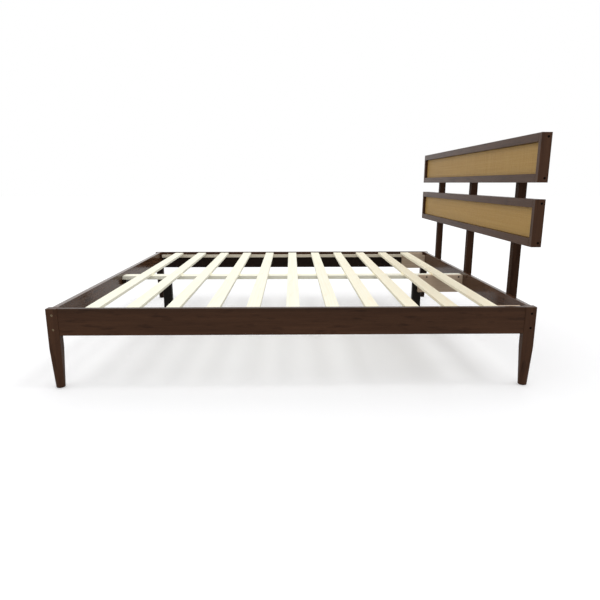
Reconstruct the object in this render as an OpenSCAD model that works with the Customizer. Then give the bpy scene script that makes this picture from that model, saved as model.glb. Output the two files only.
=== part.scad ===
// Slatted platform bed with a two-panel cane headboard.
// X runs along the bed to the headboard, Y across it (left is +Y), Z up from the floor.
// The origin is on the floor, under the middle of the whole outline.

/* [Mattress] */
// Length of the mattress
mattress_l = 2000; // [1800:5:2200]
// Width of the mattress
mattress_w = 1800; // [1300:5:2000]
// Room beside the mattress on each side
side_gap = 3; // [0:1:20]
// Spare length between the mattress and the headboard
end_gap = 12; // [0:1:60]

/* [Frame rails] */
// Height of the rails' top edge above the floor
rail_top = 359; // [300:1:450]
// Height of a rail board
rail_h = 119; // [95:1:150]
// Thickness of the side rails and the foot rail
rail_t = 25; // [20:1:32]
// Thickness of the head rail
head_rail_t = 19; // [18:1:30]
// How far the side rails sit back from the legs' outer faces
side_inset = 2; // [0:0.5:6]
// How far the foot rail sits in from the legs' ends
foot_inset = 15; // [4:1:16]
// How far the head rail sits in from the legs' ends
head_inset = 11; // [4:1:16]
// Chamfer on the long edges of the boards
edge_ease = 1.5; // [0.5:0.25:3]

/* [Corner legs] */
// Width of a leg along the bed
leg_w = 50; // [42:1:60]
// Depth of a leg across the bed
leg_d = 38; // [34:1:60]
// Corner radius of a leg's square part
leg_round = 5; // [2:0.5:10]
// Length of square leg left below the rail
leg_block = 60; // [20:1:120]
// Diameter of the round foot
foot_d = 38; // [32:1:38]
// How far the foot's lower edge is rounded in
foot_ease = 2; // [1:0.5:4]

/* [Centre support] */
// Width of the flat beam under the slats
beam_w = 70; // [60:1:100]
// Thickness of the beam
beam_t = 21; // [15:1:30]
// Width of a support leg along the bed
support_w = 52; // [30:1:70]
// Depth of a support leg across the bed
support_d = 42; // [30:1:44]
// Cut at the corners of a support leg
support_ease = 8; // [2:1:12]
// Distance from each end of the frame to a support leg's middle
support_inset = 295; // [150:5:600]
// Length of the cleats that carry the beam's ends, along the bed
cleat_l = 22; // [15:1:40]
// Height of a cleat
cleat_h = 30; // [15:1:50]

/* [Head end blocks] */
// Thickness of the brace beside the beam
brace_t = 25; // [18:1:30]
// Height of the brace and the corner blocks
brace_h = 103; // [60:1:110]
// Distance from the brace's foot end to its first bolt
brace_bolt_in = 48; // [30:1:90]
// Distance from the head rail to the brace's second bolt
brace_bolt_out = 24; // [12:1:60]
// Thickness of a corner block
block_t = 38; // [20:1:45]
// How far a corner block reaches past the last slat's middle, towards the foot
block_reach = 19; // [8:1:25]
// How far a corner block's top stays below the slats' tops
block_drop = 2; // [0:0.5:6]
// How much lower a corner block is beside the leg
block_step = 18; // [0:1:40]

/* [Slats] */
// Width of a slat
slat_w = 60; // [40:1:90]
// Thickness of a slat
slat_t = 15; // [12:1:25]
// How far the slats lie below the top of the rails
slat_drop = 4; // [0:0.5:20]
// Distance from each end of the frame to the nearest slat
slat_inset = 153; // [110:1:200]
// Gap between a slat's end and the side rail
slat_end_gap = 3; // [1:1:8]
// Thickness of a ledger strip, across the bed
ledger_t = 20; // [15:1:30]
// Height of a ledger strip
ledger_h = 20; // [15:1:40]

/* [Headboard] */
// Height of one panel
panel_h = 198; // [150:1:260]
// Thickness of a panel's frame
panel_t = 43; // [38:1:60]
// Free height between the two panels
panel_gap = 67; // [30:1:150]
// Height of the lower panel above the rails
panel_lift = 258; // [150:1:400]
// How far a panel's end sits in from the legs' outer faces
panel_inset = 3; // [0:1:60]
// Height of a panel's top and bottom rails
frame_rail_h = 35; // [30:1:50]
// Width of a panel's end stiles
stile_w = 26; // [20:1:50]
// How far the cane sits behind the frame's front
cane_recess = 17; // [8:1:20]
// Thickness of the cane sheet
cane_t = 2; // [1:0.5:3]
// Thickness of the board behind the cane
back_board_t = 4; // [3:0.5:6]
// Depth of the groove that holds the cane and its board
groove = 6; // [4:0.5:8]
// Width and depth of a headboard post
post_w = 38; // [30:1:50]
// Distance from a panel's end to the outer post's middle
post_inset = 287; // [150:1:400]
// How far a post's top stays below the upper panel's top
post_drop = 9; // [2:1:10]

/* [Fasteners and glides] */
// Diameter of the bolts
bolt_d = 6; // [5:0.5:6.5]
// Diameter of the bolts' round heads
bolt_head_d = 10; // [9:0.5:11]
// Height of the bolts' heads
bolt_head_h = 5; // [4:0.5:6]
// Width of the six-sided socket in a bolt's head, across its corners
socket_w = 5; // [4:0.5:6]
// Depth of that socket
socket_depth = 3; // [2:0.25:3.5]
// How far a bolt's head sits below the wood
bolt_sink = 1.5; // [0.5:0.25:3]
// How far a bolt reaches into the wood that it pulls tight
bolt_bite = 32; // [20:1:50]
// Height of the lower bolt above a rail's bottom edge
bolt_low = 26; // [18:1:30]
// Distance from a rail's top edge to the upper bolt
bolt_high = 29; // [28:1:38]
// How much higher the side rails' bolts sit than the end rails'
bolt_shift = 15; // [13:1:18]
// Distance from an end rail's outer face to its bolts
end_bolt_in = 10; // [8:1:13]
// Distance from the panel frame's front to the bolts in its stiles
stile_bolt_in = 28; // [12:1:30]
// Distance from a side rail's end to its barrel nuts
barrel_in = 38; // [25:1:60]
// Diameter of the barrel nuts in the side rails
barrel_d = 10; // [10:0.5:12]
// Length of a barrel nut
barrel_l = 14; // [12:1:18]
// Width of the nuts on the posts' bolts, across their corners
nut_d = 11; // [10.5:0.5:13]
// Thickness of a nut
nut_t = 5; // [4:0.5:7]
// Diameter of the wood screws
screw_d = 4; // [3:0.5:5]
// Height of a screw's countersunk head
screw_head_h = 3; // [2:0.5:4]
// How far the screws' heads sit inside the posts
screw_sink = 6; // [3:0.5:12]
// How far the posts' screws reach into the panels
panel_bite = 24; // [15:1:32]
// How far the slats' screws reach into the ledgers
slat_bite = 15; // [8:1:20]
// Diameter of a glide under a foot
glide_d = 26; // [18:1:26]
// Thickness of a glide
glide_t = 2; // [1:0.5:4]
// Diameter of a glide's pin
pin_d = 4; // [2:0.5:6]
// Length of a glide's pin
pin_l = 13; // [8:1:25]
// Radial room around a bolt, a screw or a pin in its hole
hole_gap = 0.25; // [0.1:0.05:0.5]

/* [Hidden] */
slat_count = 11;
eps = 0.01;

stain = "#3a291f";
near_black = "#17120f";
pine = "#f2e3c4";
cane_tan = "#9c7f52";
steel = "#b9b4ab";

// Frame, from the mattress outwards
end_room = mattress_l + end_gap;
bed_w = mattress_w + 2 * (side_gap + rail_t + side_inset);
bed_l = foot_inset + rail_t + end_room + panel_t + head_inset;
post_front = bed_l - head_inset;
overall_l = post_front + post_w;
x0 = -overall_l / 2;
y_out = bed_w / 2;
rail_face_y = y_out - side_inset;
rail_in_y = rail_face_y - rail_t;
rail_bottom = rail_top - rail_h;
foot_in_x = x0 + foot_inset + rail_t;
head_out_x = x0 + post_front;
head_in_x = head_out_x - head_rail_t;
leg_in_y = y_out - leg_d;

// Heights of what the mattress lies on
slat_top = rail_top - slat_drop;
slat_bottom = slat_top - slat_t;
beam_bottom = slat_bottom - beam_t;
slat_pitch = (bed_l - 2 * slat_inset - slat_w) / (slat_count - 1);
slat_l = 2 * (rail_in_y - slat_end_gap);
function slat_x(i) = x0 + slat_inset + slat_w / 2 + i * slat_pitch;

// Bolts at the corners
bolt_z = [rail_bottom + bolt_low, rail_top - bolt_high];
side_bolt_z = [bolt_z[0] + bolt_shift, bolt_z[1] + bolt_shift];
hole_d = bolt_d + 2 * hole_gap;
head_hole_d = bolt_head_d + 2 * hole_gap;
head_depth = bolt_head_h + bolt_sink;
end_bolt_x = [x0 + foot_inset + end_bolt_in, head_out_x - end_bolt_in];
end_bolt_l = leg_d - head_depth + bolt_bite;
side_bolt_l = leg_w - head_depth + barrel_in + barrel_d / 2;
barrel_depth = (rail_t + barrel_l) / 2;

// Headboard
panel_l = bed_w - 2 * panel_inset;
panel_x = head_out_x - panel_t;
panel_z = [rail_top + panel_lift, rail_top + panel_lift + panel_h + panel_gap];
post_top = panel_z[1] + panel_h - post_drop;
post_y = [panel_l / 2 - post_inset, 0, post_inset - panel_l / 2];
sheet_gap = 0.25;
sheet_y = panel_l / 2 - stile_w + groove - sheet_gap;
sheet_z = frame_rail_h - groove + sheet_gap;
groove_t = cane_t + back_board_t + 2 * sheet_gap;
screw_hole_d = screw_d + 2 * hole_gap;
screw_head_d = 2 * screw_d;
panel_screw_l = post_w - screw_sink + panel_bite;
slat_screw_l = slat_t + slat_bite;
stile_bolt_l = stile_w - head_depth + bolt_bite;

// Support legs
support_x = [x0 + support_inset, x0 + bed_l - support_inset];
beam_back_y = beam_w / 2;
support_y = beam_back_y - support_d;
brace_y = -beam_w / 2;
brace_x = support_x[1];
brace_l = head_in_x - brace_x;
brace_bottom = slat_bottom - brace_h;
brace_bolt_x = [brace_x + brace_bolt_in, head_in_x - brace_bolt_out];
brace_bolt_z = slat_bottom - beam_t / 2;
brace_bolt_l = brace_t - head_depth + bolt_bite;
last_slat = slat_count - 1;
block_x = slat_x(last_slat) - block_reach;

// Section of a board w by h, its corners cut by c
module eased(w, h, c) {
    polygon([[c, 0], [w - c, 0], [w, c], [w, h - c], [w - c, h], [c, h], [0, h - c], [0, c]]);
}

// Boards that start at their lowest corner and run along X, Y or Z
module board_x(l, w, h, c = edge_ease) {
    rotate([90, 0, 90]) linear_extrude(height = l) eased(w, h, c);
}

module board_y(l, w, h, c = edge_ease) {
    translate([0, l, 0]) rotate([90, 0, 0]) linear_extrude(height = l) eased(w, h, c);
}

module board_z(l, w, d, c = edge_ease) {
    linear_extrude(height = l) eased(w, d, c);
}

// Leaves a left-hand piece where it is for s = 1 and mirrors it to the right for s = -1
module to_side(s) {
    if (s > 0) children();
    else mirror([0, 1, 0]) children();
}

// A round bolt: its head's top is at the origin and its shank runs along +Z
module bolt(l) {
    difference() {
        union() {
            cylinder(h = bolt_head_h, d = bolt_head_d, $fn = 40);
            translate([0, 0, bolt_head_h - eps]) cylinder(h = l + eps, d = bolt_d, $fn = 32);
        }
        translate([0, 0, -eps]) cylinder(h = socket_depth + eps, d = socket_w, $fn = 6);
    }
}

// The hole for a bolt that enters wood at the origin along +Z, its head sunk
module bolt_hole(l, head = true) {
    translate([0, 0, -eps]) cylinder(h = l + eps, d = hole_d, $fn = 32);
    if (head) translate([0, 0, -eps]) cylinder(h = head_depth + eps, d = head_hole_d, $fn = 40);
}

// A countersunk screw: its head's top is at the origin and its shank runs along +Z
module screw(l) {
    cylinder(h = screw_head_h, d1 = screw_head_d, d2 = screw_d, $fn = 32);
    translate([0, 0, screw_head_h - eps]) cylinder(h = l - screw_head_h + eps, d = screw_d, $fn = 24);
}

// The hole for a countersunk screw, with a plain bore of the sink's depth above its head
module screw_hole(l, sink = 0) {
    translate([0, 0, -eps]) cylinder(h = sink + 2 * eps, d = screw_head_d + 2 * hole_gap, $fn = 32);
    translate([0, 0, sink])
        cylinder(h = screw_head_h, d1 = screw_head_d + 2 * hole_gap, d2 = screw_hole_d, $fn = 32);
    translate([0, 0, sink + screw_head_h - eps])
        cylinder(h = l - screw_head_h + hole_gap + eps, d = screw_hole_d, $fn = 24);
}

// Places a child where a bolt enters a left leg across the bed, at the foot (0) or the head (1)
module at_end_bolts(end) {
    for (z = bolt_z) translate([end_bolt_x[end], y_out, z]) rotate([90, 0, 0]) children();
}

// Places a child where a bolt enters a left leg along the bed, at the foot (0) or the head (1)
module at_side_bolts(end) {
    for (z = side_bolt_z) translate([x0 + end * bed_l, rail_face_y - rail_t / 2, z])
        rotate([0, 90 - 180 * end, 0]) children();
}

// Places a child where a barrel nut enters the left side rail, at the foot (0) or the head (1)
module at_barrels(end) {
    x = [x0 + leg_w + barrel_in, x0 + bed_l - leg_w - barrel_in][end];
    for (z = side_bolt_z) translate([x, rail_in_y, z]) rotate([-90, 0, 0]) children();
}

// Left side rail, from leg to leg
module side_rail() {
    color(stain) difference() {
        translate([x0 + leg_w, rail_in_y, rail_bottom]) board_x(bed_l - 2 * leg_w, rail_t, rail_h);
        for (end = [0, 1]) {
            at_side_bolts(end) bolt_hole(side_bolt_l + head_depth + 1, head = false);
            at_barrels(end) translate([0, 0, -eps])
                cylinder(h = barrel_depth + eps, d = barrel_d + 2 * hole_gap, $fn = 40);
        }
    }
}

// Foot rail (0) or head rail (1), between the legs; the posts' bolts pass through the head rail
module end_rail(end) {
    color(stain) difference() {
        translate([[foot_in_x - rail_t, head_in_x][end], -leg_in_y, rail_bottom])
            board_y(2 * leg_in_y, [rail_t, head_rail_t][end], rail_h);
        for (s = [1, -1]) to_side(s) at_end_bolts(end)
            bolt_hole(end_bolt_l + head_depth + 1, head = false);
        if (end == 1) for (y = post_y, z = bolt_z) {
            translate([head_out_x, y, z]) rotate([0, -90, 0])
                bolt_hole(head_rail_t + 1, head = false);
            translate([head_in_x - eps, y, z]) rotate([0, 90, 0])
                cylinder(h = nut_t + bolt_sink + eps, d = nut_d + 2 * hole_gap, $fn = 40);
        }
    }
}

// Left corner leg, at the foot (0) or the head (1): square beside the rails, then tapering to a round foot
module corner_leg(end) {
    x = x0 + end * (bed_l - leg_w);
    taper_top = rail_bottom - leg_block;
    mid = [x + leg_w / 2, y_out - leg_d / 2, 0];
    color(stain) difference() {
        union() {
            translate([x, leg_in_y, taper_top]) board_z(rail_top - taper_top, leg_w, leg_d, leg_round / 2);
            hull() {
                translate([x, leg_in_y, taper_top]) board_z(eps, leg_w, leg_d, leg_round / 2);
                translate(mid + [0, 0, glide_t + foot_ease]) cylinder(h = eps, d = foot_d, $fn = 40);
                translate(mid + [0, 0, glide_t]) cylinder(h = eps, d = foot_d - 2 * foot_ease, $fn = 40);
            }
        }
        at_end_bolts(end) bolt_hole(leg_d + 1);
        at_side_bolts(end) bolt_hole(leg_w + 1);
        translate(mid) pin_hole();
    }
}

// Left ledger strip, on the side rail's inner face, from the leg to the corner block
module ledger() {
    color(pine) difference() {
        translate([x0 + leg_w, rail_in_y - ledger_t, slat_bottom - ledger_h])
            board_x(block_x - x0 - leg_w, ledger_t, ledger_h, edge_ease / 2);
        for (i = [0 : last_slat - 1]) at_slat_screw(i) screw_hole(slat_screw_l);
    }
}

// Flat beam under the slats, notched for the brace at its head end
module centre_beam() {
    color(pine) difference() {
        translate([foot_in_x, -beam_w / 2, beam_bottom])
            board_x(head_in_x - foot_in_x, beam_w, beam_t, edge_ease / 2);
        translate([brace_x, brace_y - 1, beam_bottom - 1]) cube([brace_l + 1, brace_t + 1, beam_t + 2]);
        for (x = brace_bolt_x) translate([x, brace_y, brace_bolt_z]) rotate([-90, 0, 0])
            bolt_hole(brace_bolt_l + head_depth + 1, head = false);
    }
}

// Cleat on the foot rail (0) or the head rail (1) that carries the beam's end
module beam_cleat(end) {
    y = [-beam_w / 2, brace_y + brace_t][end];
    color(stain) translate([[foot_in_x, head_in_x - cleat_l][end], y, beam_bottom - cleat_h])
        board_y(beam_w / 2 - y, cleat_l, cleat_h, edge_ease / 2);
}

// Support leg under the beam, at the foot (0) or the head (1), with its corners cut
module support_leg(end) {
    color(near_black) difference() {
        translate([support_x[end] - support_w / 2, support_y, glide_t])
            board_z(beam_bottom - glide_t, support_w, support_d, support_ease);
        translate([support_x[end], support_y + support_d / 2, 0]) pin_hole();
    }
}

// Brace on edge beside the beam, from the head rail to the support leg
module centre_brace() {
    color(pine) difference() {
        translate([brace_x, brace_y, brace_bottom]) board_x(brace_l, brace_t, brace_h, edge_ease / 2);
        for (x = brace_bolt_x) translate([x, brace_y, brace_bolt_z]) rotate([-90, 0, 0])
            bolt_hole(brace_t + 1);
    }
}

// Left corner block: it carries the last slat's end, then rises, and is cut back and lower at the leg
module corner_block() {
    block_in_y = rail_in_y - block_t;
    rise_x = slat_x(last_slat) + slat_w / 2 + slat_end_gap;
    leg_x = x0 + bed_l - leg_w;
    top = slat_top - block_drop;
    color(pine) difference() {
        translate([block_x, block_in_y, brace_bottom])
            board_x(head_in_x - block_x, block_t, top - brace_bottom, edge_ease / 2);
        translate([block_x - 1, block_in_y - 1, slat_bottom])
            cube([rise_x - block_x + 1, block_t + 2, top]);
        translate([leg_x, block_in_y - 1, top - block_step]) cube([leg_w, block_t + 2, top]);
        translate([leg_x, leg_in_y, brace_bottom - 1]) cube([leg_w, leg_d, top]);
        at_slat_screw(last_slat) screw_hole(slat_screw_l);
    }
}

// Places a child where a screw enters slat i at its left end
module at_slat_screw(i) {
    translate([slat_x(i), rail_in_y - ledger_t / 2, slat_top]) rotate([180, 0, 0]) children();
}

// One slat across the whole bed
module slat(i) {
    color(pine) difference() {
        translate([slat_x(i) - slat_w / 2, -slat_l / 2, slat_bottom])
            board_y(slat_l, slat_w, slat_t, edge_ease);
        for (s = [1, -1]) to_side(s) at_slat_screw(i) screw_hole(slat_screw_l);
    }
}

// Headboard post, on the head rail's outer face
module headboard_post(y) {
    color(stain) difference() {
        translate([head_out_x, y - post_w / 2, rail_bottom])
            board_z(post_top - rail_bottom, post_w, post_w, edge_ease * 2);
        for (z = bolt_z) translate([head_out_x + post_w, y, z]) rotate([0, -90, 0]) bolt_hole(post_w + 1);
        for (z = frame_rail_z()) translate([head_out_x + post_w, y, z]) rotate([0, -90, 0])
            screw_hole(post_w, sink = screw_sink);
    }
}

// Heights of the middles of the panels' top and bottom rails
function frame_rail_z() = [for (z = panel_z, up = [frame_rail_h / 2, panel_h - frame_rail_h / 2]) z + up];

// Top or bottom rail of a panel, grooved for the cane
module panel_rail(z, top) {
    rail_z = top ? z + panel_h - frame_rail_h : z;
    half = panel_l / 2 - stile_w;
    groove_z = top ? rail_z - 1 : rail_z + frame_rail_h - groove;
    color(stain) difference() {
        translate([panel_x, -half, rail_z]) board_y(2 * half, panel_t, frame_rail_h);
        translate([panel_x + cane_recess, -half - 1, groove_z]) cube([groove_t, 2 * half + 2, groove + 1]);
        for (y = post_y) translate([head_out_x + post_w, y, rail_z + frame_rail_h / 2])
            rotate([0, -90, 0]) screw_hole(panel_screw_l, sink = screw_sink);
        for (s = [1, -1]) to_side(s) at_stile_bolt(rail_z + frame_rail_h / 2)
            bolt_hole(stile_w + bolt_bite + 1, head = false);
    }
}

// Places a child where a bolt enters a left stile's end face at height z
module at_stile_bolt(z) {
    translate([panel_x + stile_bolt_in, panel_l / 2, z]) rotate([90, 0, 0]) children();
}

// Left end stile of a panel
module panel_stile(z) {
    color(stain) difference() {
        translate([panel_x, panel_l / 2 - stile_w, z]) board_z(panel_h, panel_t, stile_w);
        translate([panel_x + cane_recess, panel_l / 2 - stile_w - 1, z + frame_rail_h - groove])
            cube([groove_t, groove + 1, panel_h - 2 * (frame_rail_h - groove)]);
        for (hole_z = [z + frame_rail_h / 2, z + panel_h - frame_rail_h / 2])
            at_stile_bolt(hole_z) bolt_hole(stile_w + 1);
    }
}

// Sheet held in a panel's grooves, at depth x from the frame's front
module panel_sheet(z, x, t) {
    translate([panel_x + x, -sheet_y, z + sheet_z]) cube([t, 2 * sheet_y, panel_h - 2 * sheet_z]);
}

module panel_cane(z) {
    color(cane_tan) panel_sheet(z, cane_recess + sheet_gap, cane_t);
}

module panel_back_board(z) {
    color(cane_tan) panel_sheet(z, cane_recess + sheet_gap + cane_t, back_board_t);
}

// Bolts through the corner legs into the end rails
module end_rail_bolts() {
    color(steel) for (s = [1, -1], end = [0, 1]) to_side(s)
        at_end_bolts(end) translate([0, 0, bolt_sink]) bolt(end_bolt_l);
}

// Bolts through the corner legs into the side rails
module side_rail_bolts() {
    color(steel) for (s = [1, -1], end = [0, 1]) to_side(s)
        at_side_bolts(end) translate([0, 0, bolt_sink]) bolt(side_bolt_l);
}

// Barrel nuts that hold the side rails' bolts, with a screwdriver slot
module barrel_nuts() {
    color(steel) for (s = [1, -1], end = [0, 1]) to_side(s) at_barrels(end)
        translate([0, 0, barrel_depth - barrel_l]) difference() {
            cylinder(h = barrel_l, d = barrel_d, $fn = 40);
            translate([0, 0, barrel_l / 2]) rotate([0, 90, 0])
                cylinder(h = 2 * barrel_d, d = hole_d, center = true, $fn = 32);
            translate([-barrel_d, -0.5, -eps]) cube([2 * barrel_d, 1, 1]);
        }
}

// Bolts through the posts and the head rail, and their nuts
module post_bolts() {
    color(steel) for (y = post_y, z = bolt_z) translate([head_out_x + post_w - bolt_sink, y, z])
        rotate([0, -90, 0]) bolt(post_w - head_depth + head_rail_t - bolt_sink / 2);
}

module post_nuts() {
    color(steel) for (y = post_y, z = bolt_z) translate([head_in_x + bolt_sink, y, z]) rotate([0, 90, 0])
        difference() {
            cylinder(h = nut_t, d = nut_d, $fn = 6);
            translate([0, 0, -eps]) cylinder(h = nut_t + 2 * eps, d = hole_d, $fn = 32);
        }
}

// Screws from the posts into the panels' rails
module panel_screws() {
    color(steel) for (y = post_y, z = frame_rail_z())
        translate([head_out_x + post_w - screw_sink, y, z]) rotate([0, -90, 0]) screw(panel_screw_l);
}

// Bolts through the panels' stiles into their rails
module stile_bolts() {
    color(steel) for (s = [1, -1], z = frame_rail_z()) to_side(s)
        at_stile_bolt(z) translate([0, 0, bolt_sink]) bolt(stile_bolt_l);
}

// Screws through the slats' ends
module slat_screws() {
    color(steel) for (s = [1, -1], i = [0 : last_slat]) to_side(s)
        at_slat_screw(i) screw(slat_screw_l);
}

// Bolts through the brace into the beam
module brace_bolts() {
    color(steel) for (x = brace_bolt_x) translate([x, brace_y + bolt_sink, brace_bolt_z])
        rotate([-90, 0, 0]) bolt(brace_bolt_l);
}

// A glide with its pin, under a foot
module glide() {
    cylinder(h = glide_t, d = glide_d, $fn = 40);
    translate([0, 0, glide_t - eps]) cylinder(h = pin_l, d = pin_d, $fn = 24);
}

// The hole in a foot for a glide's pin
module pin_hole() {
    translate([0, 0, glide_t - eps]) cylinder(h = pin_l + 1, d = pin_d + 2 * hole_gap, $fn = 24);
}

module foot_glides() {
    color(near_black) {
        for (s = [1, -1], x = [x0 + leg_w / 2, x0 + bed_l - leg_w / 2])
            translate([x, s * (y_out - leg_d / 2), 0]) glide();
        for (x = support_x) translate([x, support_y + support_d / 2, 0]) glide();
    }
}

side_rail();  // side_rail_left
to_side(-1) side_rail();  // side_rail_right
end_rail(0);  // foot_rail
end_rail(1);  // head_rail
corner_leg(0);  // leg_foot_left
to_side(-1) corner_leg(0);  // leg_foot_right
corner_leg(1);  // leg_head_left
to_side(-1) corner_leg(1);  // leg_head_right
ledger();  // ledger_left
to_side(-1) ledger();  // ledger_right
centre_beam();
beam_cleat(0);  // beam_cleat_foot
beam_cleat(1);  // beam_cleat_head
support_leg(0);  // support_leg_foot
support_leg(1);  // support_leg_head
centre_brace();
corner_block();  // corner_block_left
to_side(-1) corner_block();  // corner_block_right
slat(0);  // slat_01
slat(1);  // slat_02
slat(2);  // slat_03
slat(3);  // slat_04
slat(4);  // slat_05
slat(5);  // slat_06
slat(6);  // slat_07
slat(7);  // slat_08
slat(8);  // slat_09
slat(9);  // slat_10
slat(10);  // slat_11
headboard_post(post_y[0]);  // headboard_post_left
headboard_post(post_y[1]);  // headboard_post_centre
headboard_post(post_y[2]);  // headboard_post_right
panel_rail(panel_z[1], true);  // upper_top_rail
panel_rail(panel_z[1], false);  // upper_bottom_rail
panel_stile(panel_z[1]);  // upper_stile_left
to_side(-1) panel_stile(panel_z[1]);  // upper_stile_right
panel_cane(panel_z[1]);  // upper_cane
panel_back_board(panel_z[1]);  // upper_back_board
panel_rail(panel_z[0], true);  // lower_top_rail
panel_rail(panel_z[0], false);  // lower_bottom_rail
panel_stile(panel_z[0]);  // lower_stile_left
to_side(-1) panel_stile(panel_z[0]);  // lower_stile_right
panel_cane(panel_z[0]);  // lower_cane
panel_back_board(panel_z[0]);  // lower_back_board
end_rail_bolts();
side_rail_bolts();
barrel_nuts();
post_bolts();
post_nuts();
panel_screws();
stile_bolts();
slat_screws();
brace_bolts();
foot_glides();
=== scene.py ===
import math

import bmesh
import bpy
from mathutils import Matrix, Vector


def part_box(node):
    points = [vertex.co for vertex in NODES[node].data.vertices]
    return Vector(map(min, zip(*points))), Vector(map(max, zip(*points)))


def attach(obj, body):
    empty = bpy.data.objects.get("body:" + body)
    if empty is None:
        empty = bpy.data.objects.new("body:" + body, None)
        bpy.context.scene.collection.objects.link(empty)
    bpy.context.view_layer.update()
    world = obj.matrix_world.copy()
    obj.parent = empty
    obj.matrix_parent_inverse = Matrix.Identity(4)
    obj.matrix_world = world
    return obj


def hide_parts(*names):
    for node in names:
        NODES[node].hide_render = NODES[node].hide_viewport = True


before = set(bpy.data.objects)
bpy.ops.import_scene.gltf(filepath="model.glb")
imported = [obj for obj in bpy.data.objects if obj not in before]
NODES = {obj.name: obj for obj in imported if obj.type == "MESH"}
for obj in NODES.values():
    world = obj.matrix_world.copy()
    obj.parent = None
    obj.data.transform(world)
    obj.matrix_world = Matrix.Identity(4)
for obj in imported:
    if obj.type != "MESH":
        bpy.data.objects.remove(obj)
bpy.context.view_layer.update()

MM = 0.001
SIDES = {"left": 1, "right": -1}

scene = bpy.context.scene
scene.view_settings.view_transform = "Standard"


def blend(a, b, share):
    """The value at this share of the way from a to b."""
    return a + (b - a) * share


# ---------------------------------------------------------------- materials

class Tree:
    """Short calls for the shader nodes of one material, or of the world."""

    def __init__(self, name, kind="Material"):
        self.owner = (bpy.data.worlds if kind == "World" else bpy.data.materials).new(name)
        self.owner.use_nodes = True
        self.nodes = self.owner.node_tree.nodes
        self.links = self.owner.node_tree.links
        self.nodes.clear()
        self.out = self.nodes.new("ShaderNodeOutput" + kind)

    def add(self, kind, inputs=(), **settings):
        node = self.nodes.new("ShaderNode" + kind)
        for key, value in settings.items():
            setattr(node, key, value)
        for key, value in dict(inputs).items():
            if isinstance(value, bpy.types.NodeSocket):
                self.links.new(value, node.inputs[key])
            else:
                node.inputs[key].default_value = value
        return node

    def place(self):
        return self.add("TexCoord").outputs["Object"]

    def split(self, vector):
        return self.add("SeparateXYZ", {0: vector}).outputs

    def math(self, op, a, b=0.0, c=0.0):
        return self.add("Math", {0: a, 1: b, 2: c}, operation=op).outputs[0]

    def vector(self, op, a, b):
        return self.add("VectorMath", {0: a, 1: b}, operation=op).outputs[0]

    def remap(self, value, low, high, to_low=0.0, to_high=1.0):
        return self.add("MapRange", {"Value": value, "From Min": low, "From Max": high,
                                     "To Min": to_low, "To Max": to_high}).outputs["Result"]

    def mix(self, factor, a, b, blend_type="MIX"):
        return self.add("Mix", {0: factor, 6: a, 7: b}, data_type="RGBA", blend_type=blend_type).outputs[2]

    def shaded(self, colour, shade):
        """The colour times a grey."""
        grey = self.add("CombineColor", {0: shade, 1: shade, 2: shade}).outputs[0]
        return self.mix(1.0, colour, grey, "MULTIPLY")

    def noise(self, place, scale, detail, rough=0.5, stretch=None):
        """Noise whose marks are drawn out along an axis where stretch is small."""
        if stretch:
            place = self.vector("MULTIPLY", place, stretch)
        return self.add("TexNoise", {"Vector": place, "Scale": scale, "Detail": detail,
                                     "Roughness": rough}).outputs["Fac"]

    def bump(self, height, distance, strength):
        return self.add("Bump", {"Height": height, "Distance": distance,
                                 "Strength": strength}).outputs["Normal"]

    def end(self, shader):
        self.links.new(shader.outputs[0], self.out.inputs["Surface"])
        return self.owner

    def surface(self, inputs):
        return self.end(self.add("BsdfPrincipled", inputs))


def rgb(r, g, b):
    """An sRGB colour given in 0 to 255 as linear RGBA."""
    def linear(c):
        c = c / 255
        return c / 12.92 if c <= 0.04045 else ((c + 0.055) / 1.055) ** 2.4
    return (linear(r), linear(g), linear(b), 1.0)


NOISE = (0.3, 0.7)                     # most values of a noise lie in this range

PITH_AWAY = 90 * MM                    # from a board's middle to the middle of its log
PITH_TURN = 2.399                      # the angle round the log from one board to the next
LOG_STEP, LOG_LENGTH = 1.7, 11         # metres along the log: from board to board, and in all

MID_TONE_AT = 0.45                     # of the way from the light tone to the dark one
PORE_SHADE = 0.45                      # of the dark tone
RELIEF = 0.25 * MM

PAINTED_SHADE_FADE = 12 * MM                  # the width over which the painted shade on a face turned to the bed's middle grows dark
# the share of black in that painted shade at its darkest
PAINTED_SHADE_SHARE = 0.8

# a side rail has painted light over this height at its lower edge, and painted shade from one height
# below its upper edge to the other
LOW_EDGE, LOW_PAINTED_LIGHT = 30 * MM, 1.1
HIGH_EDGE, HIGH_EDGE_FULL, HIGH_PAINTED_SHADE = 24 * MM, 14 * MM, 0.76


def grain_vector(tree, axis, seed):
    """Coordinates with the grain along Z, moved so that every board is cut from another place."""
    xyz = tree.split(tree.place())
    u, v, w = {"X": (1, 2, 0), "Y": (2, 0, 1), "Z": (0, 1, 2)}[axis]
    place = tree.add("CombineXYZ", {0: xyz[u], 1: xyz[v], 2: xyz[w]}).outputs[0]
    turn = seed * PITH_TURN
    pith = (PITH_AWAY * math.cos(turn), PITH_AWAY * math.sin(turn), LOG_STEP * seed % LOG_LENGTH)
    return tree.vector("ADD", place, pith)


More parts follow.
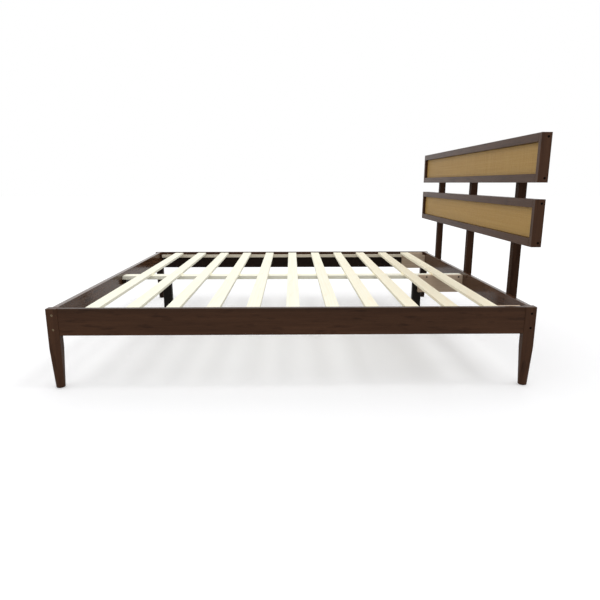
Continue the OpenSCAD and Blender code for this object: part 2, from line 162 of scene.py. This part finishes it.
def wood(name, axis, seed, dark, mid, light, ring_scale, ring_share, streak_share, blotch,
         rough, level, fine, painted_shade=None, edges=None):
    """Planed wood: growth rings round a far pith, streaks, pores and slow blotches.

    The painted-shade argument is (inner_y, below_z): what lies nearer to the bed's middle plane than
    inner_y gets painted shade below this height. edges is (low_z, high_z), a rail's lower and upper edge:
    it gets painted light along the one and painted shade along the other.
    """
    tree = Tree(name)
    place = grain_vector(tree, axis, seed)
    rings = tree.add("TexWave", {"Vector": tree.vector("MULTIPLY", place, (1, 1, 0.045)),
                                 "Scale": ring_scale, "Distortion": 5.0, "Detail": 2.0,
                                 "Detail Scale": 1.2, "Detail Roughness": 0.5},
                     wave_type="RINGS", rings_direction="Z", wave_profile="SAW").outputs["Fac"]
    rings = tree.math("POWER", rings, 1.6)
    flames = tree.noise(place, scale=42, detail=3, rough=0.55, stretch=(1, 1, 0.2))
    streaks = tree.noise(place, scale=420, detail=4, rough=0.6, stretch=(1, 1, 0.02))
    broad = tree.noise(place, scale=60, detail=3, rough=0.55, stretch=(1, 1, 0.05))
    pores = tree.noise(place, scale=1500, detail=1, stretch=(1, 1, 0.03))
    pores = tree.remap(pores, low=0.58, high=0.68)
    patches = tree.noise(place, scale=7, detail=2, stretch=(1, 1, 0.25))

    tone = tree.remap(broad, *NOISE, to_low=0.14, to_high=0.4)
    tone = tree.math("MULTIPLY_ADD", rings, ring_share, tone)
    tone = tree.math("ADD", tone, tree.remap(flames, low=0.56, high=0.74, to_high=0.6))
    tone = tree.math("ADD", tone, tree.remap(streaks, *NOISE, to_low=-0.36 * streak_share,
                                             to_high=0.64 * streak_share))
    tone = tree.math("MINIMUM", tree.math("MAXIMUM", tone, 0.0), 1.0)
    ramp = tree.add("ValToRGB", {"Fac": tone})
    ramp.color_ramp.elements[0].color = light
    ramp.color_ramp.elements[1].color = dark
    ramp.color_ramp.elements.new(MID_TONE_AT).color = mid
    colour = ramp.outputs["Color"]
    colour = tree.shaded(colour, tree.remap(patches, *NOISE, to_low=1 - blotch, to_high=1 + blotch))
    # painted light along a side rail's lower edge and painted shade along its upper one
    if edges:
        low_z, high_z = edges
        height = tree.split(tree.place())[2]
        painted_low_light = tree.remap(height, low_z, low_z + LOW_EDGE, LOW_PAINTED_LIGHT, 1.0)
        painted_high_shade = tree.remap(height, high_z - HIGH_EDGE, high_z - HIGH_EDGE_FULL, 1.0, HIGH_PAINTED_SHADE)
        colour = tree.shaded(colour, tree.math("MULTIPLY", painted_low_light, painted_high_shade))
    # painted shade: faces turned to the bed's middle darken towards black below the given height
    if painted_shade:
        inner_y, below_z = painted_shade
        xyz = tree.split(tree.place())
        painted_shade_mask = tree.remap(tree.math("ABSOLUTE", xyz[1]), inner_y, inner_y + PAINTED_SHADE_FADE, 1.0, 0.0)
        painted_shade_mask = tree.math("MULTIPLY", painted_shade_mask, tree.math("LESS_THAN", xyz[2], below_z))
        colour = tree.mix(tree.math("MULTIPLY", painted_shade_mask, PAINTED_SHADE_SHARE), colour, (0, 0, 0, 1))
    pore_colour = tuple(PORE_SHADE * c for c in dark[:3]) + (1,)
    colour = tree.mix(tree.math("MULTIPLY", pores, fine), colour, pore_colour)
    height = tree.math("SUBTRACT", tree.math("MULTIPLY", streaks, 0.6), tree.math("MULTIPLY", pores, 0.5))
    return tree.surface({
        "Base Color": colour,
        "Roughness": tree.remap(streaks, *NOISE, to_low=rough - 0.06, to_high=rough + 0.08),
        "Specular IOR Level": level,
        "Normal": tree.bump(height, RELIEF, 0.5)})


def tones(dark, mid, light):
    """A wood's three tones, each given as sRGB."""
    return dict(dark=rgb(*dark), mid=rgb(*mid), light=rgb(*light))


STAIN = dict(tones((54, 34, 22), (72, 47, 32), (87, 59, 41)), ring_scale=16, ring_share=0.14,
             streak_share=0.25, blotch=0.12, rough=0.32, level=0.12, fine=0.3)
HEAD = dict(STAIN, rough=0.13, level=0.2)
# the foot rail's stain in lighter tones, as painted light on its inner face
FOOT_PAINTED_LIGHT = dict(STAIN, **tones((61, 40, 26), (81, 55, 38), (97, 68, 48)), rough=0.13, level=0.25)
# the posts' stain in darker tones, as painted shade
POST_PAINTED_SHADE = dict(STAIN, **tones((42, 25, 16), (56, 36, 25), (68, 46, 33)), rough=0.5, level=0.04)
DEEP = dict(STAIN, **tones((27, 17, 11), (36, 23, 15), (45, 30, 20)))
PINE = dict(tones((253, 248, 227), (255, 253, 235), (255, 254, 242)), ring_scale=34, ring_share=0.5,
            streak_share=0.3, blotch=0.008, rough=0.6, level=0.1, fine=0.02)
# the pine in a darker cream, as painted shade of the headboard on the last slats
CREAM_PAINTED_SHADE = dict(PINE, **tones((255, 242, 212), (255, 247, 221), (255, 251, 229)))
# the pine in pinker, darker tones for the ledgers under the slats: the pinker hue is the wood's own, the
# darkness painted shade
LEDGER_AND_SHADE = dict(PINE, **tones((230, 218, 196), (235, 225, 205), (239, 230, 212)))
# the pine in darker tan tones for the brace and corner blocks under the slats: the tan hue is the wood's own,
# the darkness painted shade
TAN_AND_SHADE = dict(PINE, **tones((196, 172, 148), (207, 185, 162), (214, 195, 175)))
BLACK = dict(tones((12, 8, 5), (21, 15, 11), (31, 23, 17)), ring_scale=26, ring_share=0.4,
             streak_share=0.5, blotch=0.12, rough=0.4, level=0.18, fine=0.3)
BACKING = dict(tones((128, 98, 62), (150, 118, 76), (166, 134, 90)), ring_scale=20, ring_share=0.3,
               streak_share=0.5, blotch=0.1, rough=0.65, level=0.15, fine=0.2)

STEEL_GLINT_SHADE_X = 600 * MM       # either side of the bed's middle, where the painted glint turns to painted shade


def steel_material(name, dark, light):
    """Worn steel: each tone is a pair, for the foot end and for the head end; the foot end's light pair is a
    painted glint and the head end's dark pair painted shade.
    """
    tree = Tree(name)
    place = tree.place()
    wear = tree.noise(place, scale=900, detail=3, rough=0.6)
    glint_to_shade = tree.remap(tree.split(place)[0], -STEEL_GLINT_SHADE_X, STEEL_GLINT_SHADE_X)
    tone = tree.mix(wear, tree.mix(glint_to_shade, *dark), tree.mix(glint_to_shade, *light))
    return tree.surface({"Base Color": tone, "Metallic": 1.0,
                         "Roughness": tree.remap(wear, *NOISE, to_low=0.28, to_high=0.46),
                         "Normal": tree.bump(wear, 0.05 * MM, 0.4)})


def glide_material():
    """Black plastic with a fine grit."""
    tree = Tree("glide")
    grit = tree.noise(tree.place(), scale=2500, detail=2)
    return tree.surface({"Base Color": tree.mix(grit, rgb(16, 15, 14), rgb(34, 32, 30)),
                         "Roughness": 0.6, "Normal": tree.bump(grit, 0.06 * MM, 0.5)})


def cane_material():
    """Split cane: a satin skin with fine lengthwise fibres and some darker strands."""
    tree = Tree("cane")
    place = tree.place()
    across = tree.noise(place, scale=1400, detail=2, stretch=(1, 0.02, 1))
    along = tree.noise(place, scale=1400, detail=2, stretch=(1, 1, 0.02))
    strand_y = tree.noise(place, scale=140, detail=1, stretch=(0, 1, 0.01))
    strand_z = tree.noise(place, scale=140, detail=1, stretch=(0, 0.01, 1))
    fibres = tree.math("MULTIPLY_ADD", across, 0.35, tree.math("MULTIPLY", along, 0.35))
    strands = tree.math("MULTIPLY", tree.math("ADD", strand_y, strand_z), 0.25)
    tone = tree.remap(tree.math("ADD", fibres, strands), low=0.42, high=0.78)
    return tree.surface({"Base Color": tree.mix(tone, rgb(169, 131, 72), rgb(191, 156, 93)),
                         "Roughness": tree.remap(tone, 0, 1, to_low=0.5, to_high=0.36),
                         "Specular IOR Level": 0.12,
                         "Normal": tree.bump(tree.math("ADD", across, along), 0.12 * MM, 0.35)})


# ------------------------------------------------------------------ shapes

EDGE_SEGMENTS = 3
HOLE_SIDES = 32
HOLE_LEAD = 2 * MM            # a drill starts this far outside the face
SHARP_ANGLE = math.radians(50)


def set_material(obj, material):
    obj.data.materials.clear()
    obj.data.materials.append(material)


def finish_piece(obj, node, material):
    """Gives a piece its material and even shading, hangs it under the root body, and hides the node it stands
    in for.
    """
    set_material(obj, material)
    obj.data.shade_smooth()
    shading = obj.modifiers.new("shading", "WEIGHTED_NORMAL")
    shading.keep_sharp = True
    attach(obj, "root")
    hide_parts(node)


def mesh_object(name, bm):
    mesh = bpy.data.meshes.new(name)
    bm.normal_update()
    bm.to_mesh(mesh)
    bm.free()
    obj = bpy.data.objects.new(name, mesh)
    scene.collection.objects.link(obj)
    return obj


def add_box(bm, low, high):
    size = [h - l for l, h in zip(low, high)]
    middle = [(l + h) / 2 for l, h in zip(low, high)]
    bmesh.ops.create_cube(bm, size=1.0, matrix=Matrix.Translation(middle) @ Matrix.Diagonal((*size, 1)))


def round_edges(bm, radius):
    bmesh.ops.bevel(bm, geom=bm.edges[:], offset=radius, segments=EDGE_SEGMENTS, profile=0.5,
                    affect="EDGES")


def join_rings(bm, rings):
    """Makes the skin between rings of points, each joined to the next, with both ends closed."""
    for lower, upper in zip(rings, rings[1:]):
        for i in range(len(lower)):
            j = (i + 1) % len(lower)
            bm.faces.new((lower[i], lower[j], upper[j], upper[i]))
    bm.faces.new(rings[0][::-1])
    bm.faces.new(rings[-1])


def rounded_board(name, low, high, radius):
    """A board from corner low to corner high, all its edges rounded."""
    bm = bmesh.new()
    add_box(bm, low, high)
    round_edges(bm, radius)
    return mesh_object(name, bm)


def rounded_prism(name, outline, axis, low, high, radius):
    """A piece with this outline, from low to high along axis (Y or Z), all its edges rounded."""
    bm = bmesh.new()
    if axis == "Z":
        points = [(a, b, low) for a, b in outline]
        shift = (0, 0, high - low)
    else:
        points = [(a, low, b) for a, b in outline]
        shift = (0, high - low, 0)
    face = bm.faces.new([bm.verts.new(point) for point in points])
    grown = bmesh.ops.extrude_face_region(bm, geom=[face])["geom"]
    bmesh.ops.translate(bm, vec=shift, verts=[v for v in grown if isinstance(v, bmesh.types.BMVert)])
    bmesh.ops.recalc_face_normals(bm, faces=bm.faces)
    round_edges(bm, radius)
    return mesh_object(name, bm)


def cut(obj, cutter):
    """Takes cutter's volume out of obj, and marks the sharp edges anew."""
    modifier = obj.modifiers.new("cut", "BOOLEAN")
    modifier.operation = "DIFFERENCE"
    modifier.solver = "EXACT"
    modifier.object = cutter
    graph = bpy.context.evaluated_depsgraph_get()
    cut_mesh = bpy.data.meshes.new_from_object(obj.evaluated_get(graph))
    obj.modifiers.clear()
    obj.data = cut_mesh
    bpy.data.objects.remove(cutter)
    for edge in obj.data.edges:
        edge.use_edge_sharp = False
    obj.data.set_sharp_from_angle(angle=SHARP_ANGLE)


def drill(obj, holes):
    """Cuts round holes (start, direction, steps) into obj.

    Each step goes on from the last. It is (radius, depth), or ((first radius, last radius), depth)
    where it narrows.
    """
    turns = [2 * math.pi * i / HOLE_SIDES for i in range(HOLE_SIDES)]
    bm = bmesh.new()
    for start, direction, steps in holes:
        profile = []
        depth = 0.0
        for radius, length in steps:
            first, last = radius if isinstance(radius, tuple) else (radius, radius)
            profile += [(first, depth), (last, depth + length)]
            depth += length
        profile.insert(0, (profile[0][0], -HOLE_LEAD))
        place = Matrix.Translation(start) @ Vector(direction).to_track_quat("Z", "Y").to_matrix().to_4x4()
        join_rings(bm, [[bm.verts.new(place @ Vector((radius * math.cos(a), radius * math.sin(a), z)))
                         for a in turns] for radius, z in profile])
    bmesh.ops.remove_doubles(bm, verts=bm.verts, dist=1e-7)
    bmesh.ops.recalc_face_normals(bm, faces=bm.faces)
    cut(obj, mesh_object("cutter", bm))


# ------------------------------------------------- sizes and places of all pieces

# the holes' radii, and how deep their wider parts go
BOLT_HEAD = 5.25 * MM
BOLT_HOLE = 3.25 * MM
NUT_HOLE = 5.75 * MM
HEAD_DEPTH = 6.5 * MM
BARREL_HOLE = 5.25 * MM
BARREL_DEPTH = 19.5 * MM
SCREW_HEAD = 4.25 * MM
SCREW_HOLE = 2.25 * MM
SCREW_CONE = 3 * MM
SCREW_SINK = 6 * MM

# how far each hole goes on past its wider part
LEG_HOLE = 50 * MM
POST_HOLE = 40 * MM
STILE_HOLE = 30 * MM
BRACE_HOLE = 30 * MM
HEAD_RAIL_HOLE = 25 * MM
SLAT_HOLE = 16 * MM

# how far holes lie from a piece's edges
BOLT_LOW = 26 * MM            # above the rails' bottom
BOLT_HIGH = 29 * MM           # below the rails' top
BOLT_SHIFT = 15 * MM          # from the bolts across the bed up to those along it
END_BOLT_IN = 10 * MM
STILE_BOLT_IN = 28 * MM
BARREL_IN = 38 * MM
BRACE_BOLT_IN = 48 * MM
BRACE_BOLT_OUT = 24 * MM

# how far each kind of edge is rounded
RAIL_EDGE = 1.6 * MM
STRIP_EDGE = 0.8 * MM
FRAME_EDGE = 1.2 * MM
POST_EDGE = 2.2 * MM
SUPPORT_EDGE = 9 * MM

CUT_PAST = 2 * MM             # a cut goes on this far outside a piece

SLAT_COUNT = 11

seeds = {name: i + 1 for i, name in enumerate(sorted(NODES))}


def box_mid(node):
    low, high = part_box(node)
    return [(l + h) / 2 for l, h in zip(low, high)]


def node_wood(node, kind, axis):
    """This kind of wood with its grain along axis, cut from the node's own place in the log."""
    return wood("wood_" + node, axis, seeds[node], **kind)


def board(node, kind, axis, radius, holes=()):
    """A rounded board in a node's own box."""
    low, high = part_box(node)
    obj = rounded_board("shape_" + node, low, high, radius)
    if holes:
        drill(obj, holes)
    finish_piece(obj, node, node_wood(node, kind, axis))


def bolt_steps(length):
    """The steps of a hole for a bolt with a sunk head."""
    return [(BOLT_HEAD, HEAD_DEPTH), (BOLT_HOLE, length)]


# ----------------------------------------------------------- rails and ledgers

LEDGER_PAINTED_SHADE = 4 * MM         # the painted shade on a side rail's inner face reaches this far above its ledger's bottom

rail_bottom, rail_top = (corner[2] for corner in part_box("side_rail_left"))
foot_rail, head_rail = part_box("foot_rail"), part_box("head_rail")
bolt_z = [rail_bottom + BOLT_LOW, rail_top - BOLT_HIGH]
side_bolt_z = [z + BOLT_SHIFT for z in bolt_z]
end_bolt_x = {"foot": foot_rail[0][0] + END_BOLT_IN, "head": head_rail[1][0] - END_BOLT_IN}

for side, s in SIDES.items():
    node = "side_rail_" + side
    low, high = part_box(node)
    inner_y = low[1] if s > 0 else high[1]
    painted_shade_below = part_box("ledger_" + side)[0][2] + LEDGER_PAINTED_SHADE
    # painted shade on the inner face below the ledger; painted light and shade along the lower and upper
    # edges
    kind = dict(STAIN, painted_shade=(abs(inner_y), painted_shade_below), edges=(low[2], high[2]))
    board(node, kind, "X", RAIL_EDGE,
          [((x, inner_y, z), (0, s, 0), [(BARREL_HOLE, BARREL_DEPTH)])
           for x in (low[0] + BARREL_IN, high[0] - BARREL_IN) for z in side_bolt_z])
    board("ledger_" + side, LEDGER_AND_SHADE, "X", STRIP_EDGE)

# the foot rail gets the lighter stain of painted light
board("foot_rail", FOOT_PAINTED_LIGHT, "Y", RAIL_EDGE)
board("head_rail", HEAD, "Y", RAIL_EDGE,
      [((head_rail[0][0], box_mid("headboard_post_" + part)[1], z), (1, 0, 0),
        [(NUT_HOLE, HEAD_DEPTH), (BOLT_HOLE, HEAD_RAIL_HOLE)])
       for part in ("left", "centre", "right") for z in bolt_z])

# ------------------------------------------------------------------- the legs

TAPER_BELOW = 60 * MM         # from the rails' bottom down to where the taper starts
FOOT_RADIUS = 19 * MM
CORNER_RADIUS = 3.5 * MM
FOOT_EASE = 2 * MM
TOP_EASE = 1.8 * MM
EASE_STEPS = (0.0, 0.3, 0.6, 0.85, 1.0)
TAPER_STEPS = 16
CORNER_STEPS = 6


def leg_ring(half_x, half_y, radius):
    """The points of a rectangle with round corners about the origin, anticlockwise."""
    points = []
    for k, (sign_x, sign_y) in enumerate(((1, 1), (-1, 1), (-1, -1), (1, -1))):
        for i in range(CORNER_STEPS + 1):
            a = math.pi / 2 * (k + i / CORNER_STEPS)
            points.append(((half_x - radius) * sign_x + radius * math.cos(a),
                           (half_y - radius) * sign_y + radius * math.sin(a)))
    return points


def leg(end, side):
    """A corner leg: a square block with eased corners that tapers to a round foot."""
    node = f"leg_{end}_{side}"
    low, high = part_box(node)
    middle = box_mid(node)
    half_x, half_y = (high[0] - low[0]) / 2, (high[1] - low[1]) / 2
    taper_low, taper_high = low[2] + FOOT_EASE, rail_bottom - TAPER_BELOW

    levels = []
    for t in EASE_STEPS:
        radius = FOOT_RADIUS - FOOT_EASE * (1 - math.sqrt(1 - (1 - t) ** 2))
        levels.append((low[2] + FOOT_EASE * t, radius, radius, radius))
    for t in (i / TAPER_STEPS for i in range(1, TAPER_STEPS + 1)):
        levels.append((blend(taper_low, taper_high, t), blend(FOOT_RADIUS, half_x, t),
                       blend(FOOT_RADIUS, half_y, t), blend(FOOT_RADIUS, CORNER_RADIUS, t)))
    for t in EASE_STEPS:
        a = math.pi / 2 * t
        inset = TOP_EASE * (1 - math.cos(a))
        z = high[2] - TOP_EASE + TOP_EASE * math.sin(a)
        levels.append((z, half_x - inset, half_y - inset, CORNER_RADIUS - inset))
    bm = bmesh.new()
    join_rings(bm, [[bm.verts.new((middle[0] + x, middle[1] + y, z)) for x, y in leg_ring(*ring)]
                    for z, *ring in levels])
    obj = mesh_object("shape_" + node, bm)

    s = SIDES[side]
    outer_y = high[1] if s > 0 else low[1]
    outer_x = low[0] if end == "foot" else high[0]
    inwards = (1, 0, 0) if end == "foot" else (-1, 0, 0)
    steps = bolt_steps(LEG_HOLE)
    drill(obj, [((end_bolt_x[end], outer_y, z), (0, -s, 0), steps) for z in bolt_z]
          + [((outer_x, box_mid("side_rail_" + side)[1], z), inwards, steps) for z in side_bolt_z])
    # painted shade on the leg's faces turned to the bed's middle, below the rails
    kind = dict(STAIN, painted_shade=(min(abs(low[1]), abs(high[1])), rail_bottom))
    finish_piece(obj, node, node_wood(node, kind, "Z"))


for side in SIDES:
    for end in ("foot", "head"):
        leg(end, side)

# ----------------------------------------------- centre beam, brace and blocks

BLOCK_GAP = 3 * MM            # between the last slat and the block's rise
BLOCK_STEP = 18 * MM          # the block's part beside the leg is this much lower


def centre_beam():
    """The beam is cut back on the side where the brace lies."""
    low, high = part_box("centre_beam")
    brace_low, brace_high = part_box("centre_brace")
    outline = [(low[0], low[1]), (brace_low[0], low[1]), (brace_low[0], brace_high[1]),
               (high[0], brace_high[1]), (high[0], high[1]), (low[0], high[1])]
    obj = rounded_prism("shape_centre_beam", outline, "Z", low[2], high[2], STRIP_EDGE)
    finish_piece(obj, "centre_beam", node_wood("centre_beam", PINE, "X"))


def corner_block(side):
    """Block beside a head leg: it carries the last slat, rises, and is cut back and lower at the leg."""
    node = "corner_block_" + side
    low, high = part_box(node)
    slat_low, slat_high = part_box(f"slat_{SLAT_COUNT:02d}")
    leg_low, leg_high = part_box("leg_head_" + side)
    leg_x, rise_x = leg_low[0], slat_high[0] + BLOCK_GAP
    step_z = high[2] - BLOCK_STEP
    outline = [(low[0], low[2]), (high[0], low[2]), (high[0], step_z), (leg_x, step_z), (leg_x, high[2]),
               (rise_x, high[2]), (rise_x, slat_low[2]), (low[0], slat_low[2])]
    obj = rounded_prism("shape_" + node, outline, "Y", low[1], high[1], STRIP_EDGE)
    cut_y = (leg_low[1], high[1] + CUT_PAST) if side == "left" else (low[1] - CUT_PAST, leg_high[1])
    bm = bmesh.new()
    add_box(bm, (leg_x, cut_y[0], low[2] - CUT_PAST), (high[0] + CUT_PAST, cut_y[1], high[2] + CUT_PAST))
    cut(obj, mesh_object("cutter", bm))
    finish_piece(obj, node, node_wood(node, TAN_AND_SHADE, "X"))


centre_beam()
for side in SIDES:
    corner_block(side)
for end in ("foot", "head"):
    board("beam_cleat_" + end, DEEP, "Y", STRIP_EDGE)
    board("support_leg_" + end, BLACK, "Z", SUPPORT_EDGE)

brace_low, brace_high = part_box("centre_brace")
board("centre_brace", TAN_AND_SHADE, "X", STRIP_EDGE,
      [((x, brace_low[1], box_mid("centre_beam")[2]), (0, 1, 0), bolt_steps(BRACE_HOLE))
       for x in (brace_low[0] + BRACE_BOLT_IN, brace_high[0] - BRACE_BOLT_OUT)])

# ------------------------------------------------------------------- the slats

PINE_TO, CREAM_SHADE_FROM = 6, 10   # the slats up to one are pine, from the other on cream, between them mixed; the cream is painted shade of the headboard

for i in range(1, SLAT_COUNT + 1):
    node = f"slat_{i:02d}"
    top_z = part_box(node)[1][2]
    share = min(1.0, max(0.0, (i - PINE_TO) / (CREAM_SHADE_FROM - PINE_TO)))
    kind = dict(PINE)
    for key in ("dark", "mid", "light"):
        kind[key] = tuple(blend(a, b, share) for a, b in zip(PINE[key], CREAM_PAINTED_SHADE[key]))
    board(node, kind, "Y", RAIL_EDGE,
          [((box_mid(node)[0], s * box_mid("ledger_left")[1], top_z), (0, 0, -1),
            [((SCREW_HEAD, SCREW_HOLE), SCREW_CONE), (SCREW_HOLE, SLAT_HOLE)])
           for s in SIDES.values()])

# ------------------------------------------------------------- the headboard

CANE_PITCH = 7.0 * MM
CANE_WIDTH = 6.1 * MM
CANE_RISE = 0.55 * MM
CANE_CROWN = 0.3 * MM
CANE_TUCK = 2 * MM            # the weave goes this far into the frame's grooves
CANE_FRONT = 0.8 * MM         # from the sheet's front to the middle of the weave


def strand(bm, length_axis, across_at, start, count, first_up, front_x):
    """One flat strand that passes over and under at each crossing, with a crowned face towards -X."""
    rows = []
    for k in range(count * 2 + 1):
        along = start + (k - 0.5) * CANE_PITCH / 2
        wave = math.cos(math.pi * (k - 1) / 2) * (1 if first_up else -1)
        row = []
        for part in (-1, 0, 1):
            depth = front_x - CANE_RISE * wave + (CANE_CROWN if part else 0.0)
            side = across_at + part * CANE_WIDTH / 2
            row.append(bm.verts.new((depth, along, side) if length_axis == "Y" else (depth, side, along)))
        rows.append(row)
    for a, b in zip(rows, rows[1:]):
        for j in range(2):
            face = (a[j], b[j], b[j + 1], a[j + 1])
            bm.faces.new(face if length_axis == "Z" else tuple(reversed(face)))


def cane_sheet(level, material):
    """A sheet woven over one and under one, as wide and high as whole strands allow."""
    node = level + "_cane"
    front_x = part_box(node)[0][0] + CANE_FRONT
    y0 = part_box(level + "_stile_right")[1][1] - CANE_TUCK
    y1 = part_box(level + "_stile_left")[0][1] + CANE_TUCK
    z0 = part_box(level + "_bottom_rail")[1][2] - CANE_TUCK
    z1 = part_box(level + "_top_rail")[0][2] + CANE_TUCK
    ny, nz = int((y1 - y0) / CANE_PITCH), int((z1 - z0) / CANE_PITCH)
    y_start = (y0 + y1 - (ny - 1) * CANE_PITCH) / 2
    z_start = (z0 + z1 - (nz - 1) * CANE_PITCH) / 2
    bm = bmesh.new()
    for i in range(ny):
        strand(bm, "Z", y_start + i * CANE_PITCH, z_start - CANE_PITCH / 4, nz, i % 2 == 0, front_x)
    for j in range(nz):
        strand(bm, "Y", z_start + j * CANE_PITCH, y_start - CANE_PITCH / 4, ny, j % 2 == 1, front_x)
    finish_piece(mesh_object("shape_" + node, bm), node, material)


frame_rail_z = {level: [box_mid(f"{level}_{part}_rail")[2] for part in ("top", "bottom")]
                for level in ("upper", "lower")}

screw_steps = [(SCREW_HEAD, SCREW_SINK), ((SCREW_HEAD, SCREW_HOLE), SCREW_CONE), (SCREW_HOLE, POST_HOLE)]

for part in ("left", "centre", "right"):
    node = "headboard_post_" + part
    back_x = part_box(node)[1][0]
    y = box_mid(node)[1]
    holes = [((back_x, y, z), (-1, 0, 0), bolt_steps(POST_HOLE)) for z in bolt_z]
    for rail_z in frame_rail_z.values():
        holes += [((back_x, y, z), (-1, 0, 0), screw_steps) for z in rail_z]
    # the posts get the darker stain of painted shade
    board(node, POST_PAINTED_SHADE, "Z", POST_EDGE, holes)

cane_look = cane_material()
for level, rail_z in frame_rail_z.items():
    for part in ("top", "bottom"):
        board(f"{level}_{part}_rail", STAIN, "Y", FRAME_EDGE)
    for side, s in SIDES.items():
        node = f"{level}_stile_{side}"
        low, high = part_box(node)
        outer_y = high[1] if s > 0 else low[1]
        board(node, STAIN, "Z", RAIL_EDGE,
              [((low[0] + STILE_BOLT_IN, outer_y, z), (0, -s, 0), bolt_steps(STILE_HOLE)) for z in rail_z])
    cane_sheet(level, cane_look)
    back_board = level + "_back_board"
    set_material(NODES[back_board], node_wood(back_board, BACKING, "Y"))

# ------------------------------------------------------ fasteners and glides

# foot-end bolts light as a painted glint, head-end bolts near black as painted shade
bolt_steel = steel_material("bolt_steel", dark=(rgb(128, 112, 88), rgb(14, 11, 9)),
                            light=(rgb(158, 142, 116), rgb(26, 21, 18)))
screw_steel = steel_material("screw_steel", dark=(rgb(168, 162, 150),) * 2, light=(rgb(196, 190, 178),) * 2)
for name, obj in NODES.items():
    if name.endswith(("bolts", "nuts", "screws")):
        set_material(obj, screw_steel if name == "slat_screws" else bolt_steel)
set_material(NODES["foot_glides"], glide_material())

# -------------------------------------------------------- floor, light, camera

FLOOR_SEEN = (0.84, 0.84, 0.85, 1)
FLOOR_LIT = (0.42, 0.42, 0.42, 1)      # the tone that the floor throws on the bed
FLOOR_GLOW = 0.21
FLOOR_SIZE = 30.0
WHITE = (1, 1, 1, 1)
SKY_BRIGHT = (-0.25, 0.45, 0.86)       # the way to the sky's brightest part
SKY_LOW, SKY_HIGH = 0.7, 1.2
SUN_FROM = (0.6, -0.03, 1.0)


def seen(tree, rays):
    """1 for rays that show a thing itself: straight, mirrored or through glass."""
    shown = tree.math("MAXIMUM", rays["Is Glossy Ray"], rays["Is Transmission Ray"])
    return tree.math("MAXIMUM", rays["Is Camera Ray"], shown)


tree = Tree("floor")
rays = tree.add("LightPath").outputs
paper = tree.add("BsdfDiffuse", {"Color": tree.mix(rays["Is Camera Ray"], FLOOR_LIT, FLOOR_SEEN)})
glow = tree.add("Emission", {"Color": WHITE, "Strength": tree.math("MULTIPLY", seen(tree, rays), FLOOR_GLOW)})
bm = bmesh.new()
bmesh.ops.create_grid(bm, x_segments=1, y_segments=1, size=FLOOR_SIZE)
floor = mesh_object("floor", bm)
set_material(floor, tree.end(tree.add("AddShader", {0: paper.outputs[0], 1: glow.outputs[0]})))

tree = Tree("studio", "World")
sky_way = tree.add("TexCoord").outputs["Generated"]
height = tree.add("VectorMath", {0: sky_way, 1: SKY_BRIGHT}, operation="DOT_PRODUCT").outputs["Value"]
sky_light = tree.remap(height, 0, 1, SKY_LOW, SKY_HIGH)
strength = tree.remap(seen(tree, tree.add("LightPath").outputs), 0, 1, to_low=sky_light, to_high=1.0)
scene.world = tree.end(tree.add("Background", {"Color": WHITE, "Strength": strength}))

lamp = bpy.data.lights.new("key", "SUN")
lamp.angle = math.radians(14)
lamp.energy = 0.3
sun = bpy.data.objects.new("key", lamp)
sun.rotation_euler = Vector(SUN_FROM).to_track_quat("Z", "Y").to_euler()
scene.collection.objects.link(sun)

camera = bpy.data.objects.new("camera", bpy.data.cameras.new("camera"))
camera.data.sensor_width = 36.0
camera.data.lens = 30.83
camera.location = (-0.0179, -3.0624, 0.8812)
camera.rotation_euler = (math.radians(77.151), 0.0, math.radians(-0.927))
scene.collection.objects.link(camera)
scene.camera = camera
